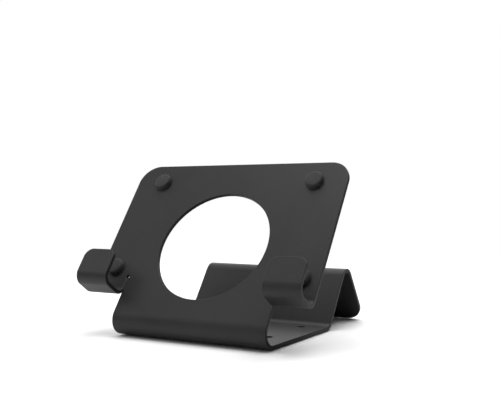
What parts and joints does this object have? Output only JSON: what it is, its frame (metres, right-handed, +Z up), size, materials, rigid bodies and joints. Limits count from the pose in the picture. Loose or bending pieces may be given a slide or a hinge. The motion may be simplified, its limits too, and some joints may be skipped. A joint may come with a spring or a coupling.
{
  "type": "tablet stand",
  "caption": "Desk or wall stand for a tablet, folded from a single painted aluminium sheet, with a leaning backrest, front hooks, a round cable opening and a looped base.",
  "frame": {"origin": "middle of the footprint, on the surface that the stand rests on", "axes": "+X to the right of someone facing the tablet, +Y towards the back, +Z up"},
  "size_m": [0.16, 0.153, 0.11],
  "materials": {
    "sheet": "satin black powder coat",
    "bumper": "matte",
    "non_slip_pad": "matte"
  },
  "bodies": {
    "root": {"folded_body": "sheet", "backrest_bumper_upper_left": "bumper", "backrest_bumper_upper_right": "bumper", "backrest_bumper_lower_left": "bumper", "backrest_bumper_lower_right": "bumper", "base_pad_front_left": "non_slip_pad", "base_pad_front_right": "non_slip_pad", "base_pad_rear_left": "non_slip_pad", "base_pad_rear_right": "non_slip_pad"}
  },
  "joints": []
}
